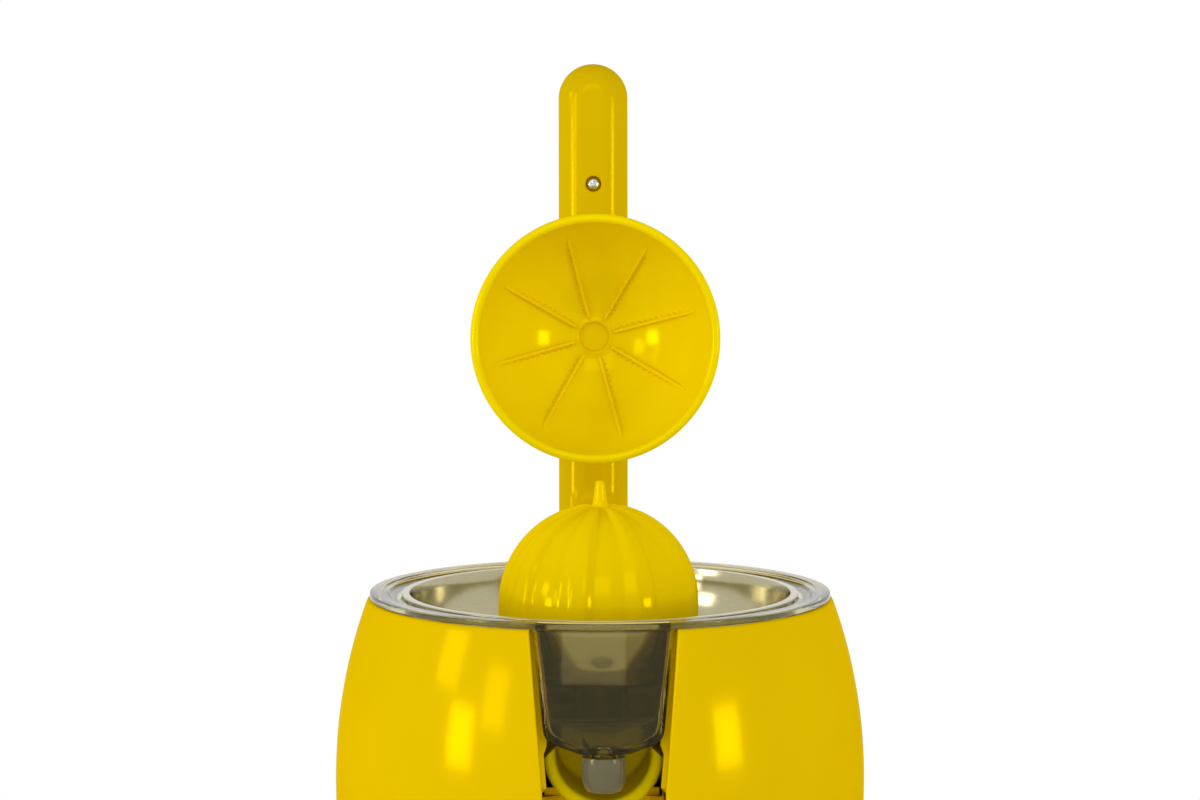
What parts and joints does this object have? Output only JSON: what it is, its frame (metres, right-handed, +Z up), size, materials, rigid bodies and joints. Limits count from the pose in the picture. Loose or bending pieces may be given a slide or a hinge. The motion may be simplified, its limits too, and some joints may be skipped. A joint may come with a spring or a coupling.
{
  "type": "electric citrus juicer",
  "caption": "Barrel-shaped electric citrus juicer with a raised lever arm and press cup, clear juice container, steel sieve, spout and glass bay.",
  "frame": {"origin": "centre of the bounding box at the surface that the feet stand on, arm raised", "axes": "+Z up, -Y to the front, where the spout and the glass bay are, +X to the right of someone who looks at the front"},
  "size_m": [0.2026, 0.3424, 0.4249],
  "materials": {
    "yellow_plastic": "glossy moulded plastic",
    "clear_plastic": "clear moulded plastic",
    "polished_steel": "polished sheet steel",
    "steel": "turned or zinc-plated steel",
    "black_plastic": "fine-grained moulded plastic",
    "grey_plastic": "moulded plastic",
    "gear_plastic": "acetal",
    "rubber": "soft rubber",
    "bronze": "sintered bronze",
    "lamination": "stacked steel sheet",
    "copper": "varnished copper wire"
  },
  "bodies": {
    "base": {"body_shell": "yellow_plastic", "base_plate": "black_plastic", "feet": "rubber", "base_screws": "steel", "inner_chassis": "black_plastic", "chassis_screws": "steel", "bay_liner": "yellow_plastic", "spout_cradle": "yellow_plastic", "arm_bracket": "yellow_plastic", "bracket_screws": "steel", "hinge_pin": "steel", "cord_inlet": "rubber", "spindle_bushes": "bronze", "shaft_seal": "rubber", "gear_case": "grey_plastic", "gear_case_screws": "steel", "idler_pin": "steel", "motor_stator": "lamination", "motor_winding": "copper", "motor_upper_frame": "steel", "motor_lower_frame": "steel", "motor_bushes": "bronze", "motor_screws": "steel", "microswitch": "black_plastic", "terminal_block": "gear_plastic"},
    "arm": {"arm_outer_shell": "yellow_plastic", "arm_inner_shell": "yellow_plastic", "arm_screws": "steel", "hinge_bushes": "bronze", "cup_pin": "steel"},
    "cup": {"press_cup": "yellow_plastic"},
    "reamer": {"reamer": "yellow_plastic"},
    "spindle": {"spindle": "steel"},
    "output": {"output_gear": "gear_plastic", "spindle_spring": "steel"},
    "idler": {"idler_gear": "gear_plastic"},
    "rotor": {"motor_rotor": "lamination", "motor_shaft": "steel", "cooling_fan": "black_plastic"},
    "plunger": {"switch_plunger": "grey_plastic"},
    "sieve": {"sieve": "polished_steel"},
    "container": {"juice_container": "clear_plastic"},
    "spout": {"drip_spout": "clear_plastic"},
    "tray": {"drip_tray": "black_plastic"},
    "grid": {"drip_grid": "polished_steel"}
  },
  "joints": [
    {"name": "arm_hinge", "type": "hinge", "parent": "base", "child": "arm", "pos_m": [0, 0.06249, 0.2063], "axis": [-1, 0, 0], "range_deg": [-93.2, 0]},
    {"name": "cup_pivot", "type": "hinge", "parent": "arm", "child": "cup", "pos_m": [0, 0.13662, 0.30852], "axis": [-1, 0, 0], "range_deg": [0, 8]},
    {"name": "motor_spin", "type": "hinge", "parent": "base", "child": "rotor", "pos_m": [0, 0.00029, 0.11], "axis": [0, 0, 1], "continuous": true},
    {"name": "idler_spin", "type": "hinge", "parent": "base", "child": "idler", "pos_m": [0.02437, -0.01721, 0.155], "axis": [0, 0, 1], "continuous": true},
    {"name": "output_spin", "type": "hinge", "parent": "base", "child": "output", "pos_m": [0, -0.04371, 0.16], "axis": [0, 0, 1], "continuous": true},
    {"name": "spindle_press", "type": "slide", "parent": "output", "child": "spindle", "axis": [0, 0, 1], "range_m": [-0.002, 0], "stiffness_N_per_m": 1500, "springref_m": 0.004, "deforming": ["spindle_spring"]},
    {"name": "plunger_travel", "type": "slide", "parent": "base", "child": "plunger", "axis": [0, 0, 1], "range_m": [-0.002, 0]},
    {"name": "reamer_lift", "type": "slide", "parent": "spindle", "child": "reamer", "axis": [0, 0, 1], "range_m": [0, 0.2]},
    {"name": "sieve_lift", "type": "slide", "parent": "base", "child": "sieve", "axis": [0, 0, 1], "range_m": [0, 0.13]},
    {"name": "container_lift", "type": "slide", "parent": "base", "child": "container", "axis": [0, 0, 1], "range_m": [0, 0.07]},
    {"name": "spout_tilt", "type": "hinge", "parent": "container", "child": "spout", "pos_m": [0, -0.13571, 0.1743], "axis": [1, 0, 0], "range_deg": [0, 40]},
    {"name": "tray_slide", "type": "slide", "parent": "base", "child": "tray", "axis": [0, -1, 0], "range_m": [0, 0.1]},
    {"name": "grid_lift", "type": "slide", "parent": "tray", "child": "grid", "axis": [0, 0, 1], "range_m": [0, 0.05]}
  ],
  "couplings": [
    {"joint": "idler_spin", "follows": "motor_spin", "ratio": -0.25},
    {"joint": "output_spin", "follows": "motor_spin", "ratio": 0.083333},
    {"joint": "plunger_travel", "follows": "spindle_press", "ratio": 1},
    {"joint": "sieve_lift", "follows": "reamer_lift", "ratio": 0.65},
    {"joint": "container_lift", "follows": "reamer_lift", "ratio": 0.35}
  ]
}
